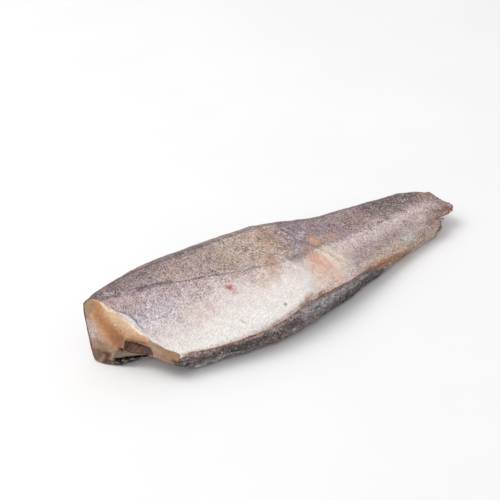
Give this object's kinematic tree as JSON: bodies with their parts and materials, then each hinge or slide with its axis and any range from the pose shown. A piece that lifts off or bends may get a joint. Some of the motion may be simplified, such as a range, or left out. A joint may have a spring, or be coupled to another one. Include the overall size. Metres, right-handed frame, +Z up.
{
  "type": "headless hake",
  "caption": "Headless, gutted whole fish lying on its flank, with an oblique head cut, an open belly cavity and a trimmed tail.",
  "frame": {"origin": "middle of the bounding box, on the plane that the fish lies on", "axes": "+X from the head cut to the tail cut, +Y from the belly to the back, +Z up through the lying fish"},
  "size_m": [0.3076, 0.0918, 0.0459],
  "materials": {
    "fish_skin": "satin"
  },
  "bodies": {
    "root": {"headless_hake": "fish_skin"}
  },
  "joints": []
}
